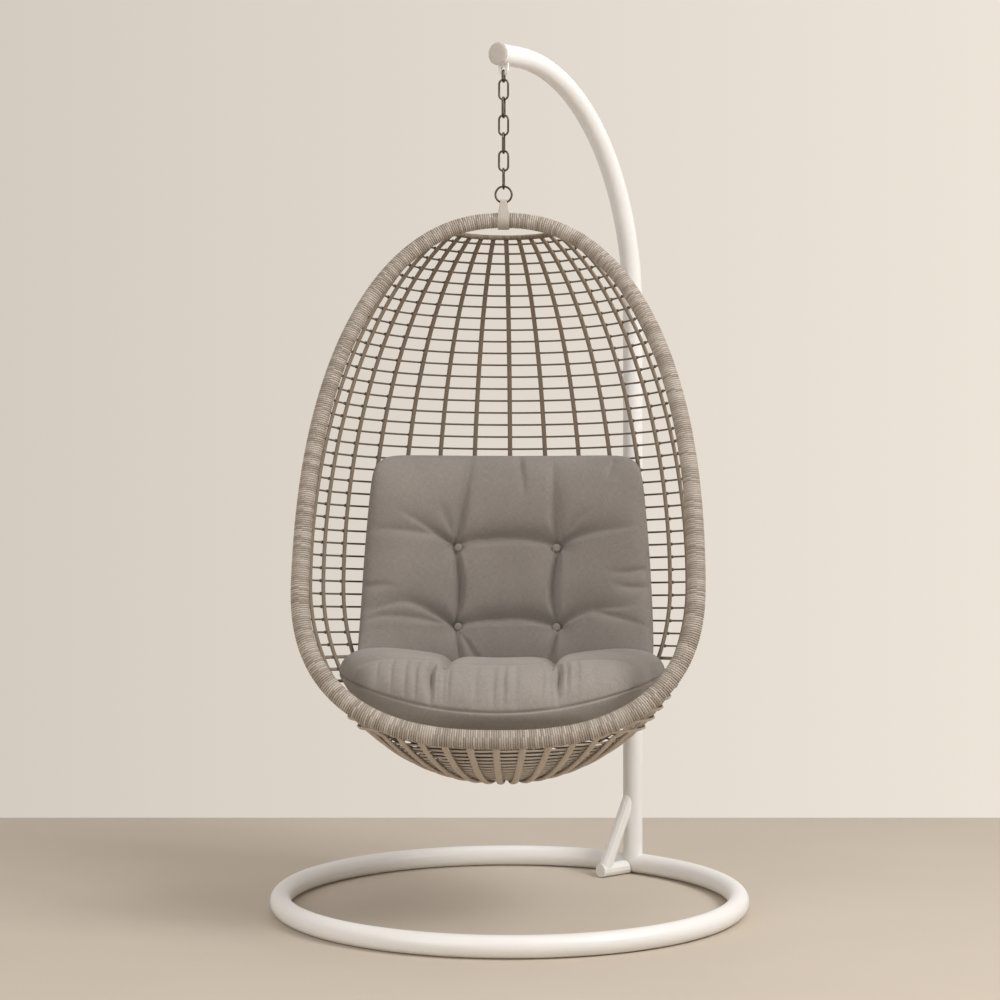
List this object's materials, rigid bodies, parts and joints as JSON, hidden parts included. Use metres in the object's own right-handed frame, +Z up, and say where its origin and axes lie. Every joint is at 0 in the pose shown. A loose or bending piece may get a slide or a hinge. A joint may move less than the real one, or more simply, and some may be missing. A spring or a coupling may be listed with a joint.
{
  "type": "hanging egg chair with stand",
  "caption": "Egg-shaped woven basket chair with tufted seat and back cushions, hung by a chain from the curved arm of a free-standing ring-base stand.",
  "frame": {"origin": "centre of the base ring, on the floor", "axes": "+Z up, the sitter faces -Y, +X to the sitter's left, the mast stands at the back on the +X side"},
  "size_m": [1.0535, 1.0536, 1.9046],
  "materials": {
    "stand_white": "white satin powder coat",
    "plug_grey": "matt warm grey",
    "chain_steel": "dark bronzed",
    "strap_band": "matt light grey",
    "rim_steel": "bare, hidden in the winding",
    "wicker_taupe": "taupe resin cane",
    "cushion_fabric": "grey taupe plain weave"
  },
  "bodies": {
    "stand": {"base_ring": "stand_white", "foot_spur": "stand_white", "brace_strut": "stand_white", "foot_spigot": "stand_white", "lower_mast": "stand_white", "mast_sleeve": "stand_white", "upper_arm": "stand_white", "arm_end_plug": "plug_grey", "hang_lug": "stand_white"},
    "link_1": {"chain_link_1": "chain_steel"},
    "link_2": {"chain_link_2": "chain_steel"},
    "link_3": {"chain_link_3": "chain_steel"},
    "link_4": {"chain_link_4": "chain_steel"},
    "link_5": {"chain_link_5": "chain_steel"},
    "link_6": {"chain_link_6": "chain_steel"},
    "link_7": {"chain_link_7": "chain_steel"},
    "ring": {"hanger_ring": "chain_steel"},
    "basket": {"hanger_strap": "strap_band", "rim_core": "rim_steel", "rim_wrap": "wicker_taupe", "crown_hoop": "wicker_taupe", "back_rib_01": "wicker_taupe", "back_rib_02": "wicker_taupe", "back_rib_03": "wicker_taupe", "back_rib_04": "wicker_taupe", "back_rib_05": "wicker_taupe", "back_rib_06": "wicker_taupe", "back_rib_07": "wicker_taupe", "back_rib_08": "wicker_taupe", "back_rib_09": "wicker_taupe", "back_rib_10": "wicker_taupe", "back_rib_11": "wicker_taupe", "back_rib_12": "wicker_taupe", "back_rib_13": "wicker_taupe", "back_rib_14": "wicker_taupe", "back_rib_15": "wicker_taupe", "bowl_spider": "wicker_taupe", "wicker_strand_1": "wicker_taupe", "wicker_strand_2": "wicker_taupe", "wicker_strand_3": "wicker_taupe", "wicker_strand_4": "wicker_taupe", "wicker_strand_5": "wicker_taupe", "wicker_strand_6": "wicker_taupe", "bowl_strand": "wicker_taupe", "seat_cushion": "cushion_fabric", "back_cushion": "cushion_fabric", "back_button_1": "cushion_fabric", "back_button_2": "cushion_fabric", "back_button_3": "cushion_fabric", "back_button_4": "cushion_fabric", "seat_button_1": "cushion_fabric", "seat_button_2": "cushion_fabric", "seat_button_3": "cushion_fabric", "seat_button_4": "cushion_fabric"}
  },
  "joints": [
    {"name": "chain_swing", "type": "hinge", "parent": "stand", "child": "link_1", "pos_m": [-0.01313, -0.01827, 1.83737], "axis": [0.9511, -0.309, 0], "range_deg": [-14, 2]},
    {"name": "chain_sway", "type": "hinge", "parent": "link_1", "child": "link_2", "pos_m": [-0.01313, -0.01827, 1.82017], "axis": [0.309, 0.9511, 0], "range_deg": [-2, 10]},
    {"name": "link_3_twist", "type": "hinge", "parent": "link_2", "child": "link_3", "pos_m": [-0.01313, -0.01827, 1.78587], "axis": [0, 0, 1], "range_deg": [-7, 7]},
    {"name": "link_4_twist", "type": "hinge", "parent": "link_2", "child": "link_4", "pos_m": [-0.01313, -0.01827, 1.74667], "axis": [0, 0, 1], "range_deg": [-14, 14]},
    {"name": "link_5_twist", "type": "hinge", "parent": "link_2", "child": "link_5", "pos_m": [-0.01313, -0.01827, 1.70747], "axis": [0, 0, 1], "range_deg": [-21, 21]},
    {"name": "link_6_twist", "type": "hinge", "parent": "link_2", "child": "link_6", "pos_m": [-0.01313, -0.01827, 1.66827], "axis": [0, 0, 1], "range_deg": [-28, 28]},
    {"name": "link_7_twist", "type": "hinge", "parent": "link_2", "child": "link_7", "pos_m": [-0.01313, -0.01827, 1.62907], "axis": [0, 0, 1], "range_deg": [-35, 35]},
    {"name": "ring_twist", "type": "hinge", "parent": "link_2", "child": "ring", "pos_m": [-0.01313, -0.01827, 1.58987], "axis": [0, 0, 1], "range_deg": [-42, 42]},
    {"name": "basket_nod", "type": "hinge", "parent": "ring", "child": "basket", "pos_m": [-0.01313, -0.01827, 1.55392], "axis": [0.999, -0.0454, 0], "range_deg": [-6, 2]}
  ],
  "couplings": [
    {"joint": "link_3_twist", "follows": "ring_twist", "ratio": 0.16667},
    {"joint": "link_4_twist", "follows": "ring_twist", "ratio": 0.33333},
    {"joint": "link_5_twist", "follows": "ring_twist", "ratio": 0.5},
    {"joint": "link_6_twist", "follows": "ring_twist", "ratio": 0.66667},
    {"joint": "link_7_twist", "follows": "ring_twist", "ratio": 0.83333}
  ]
}
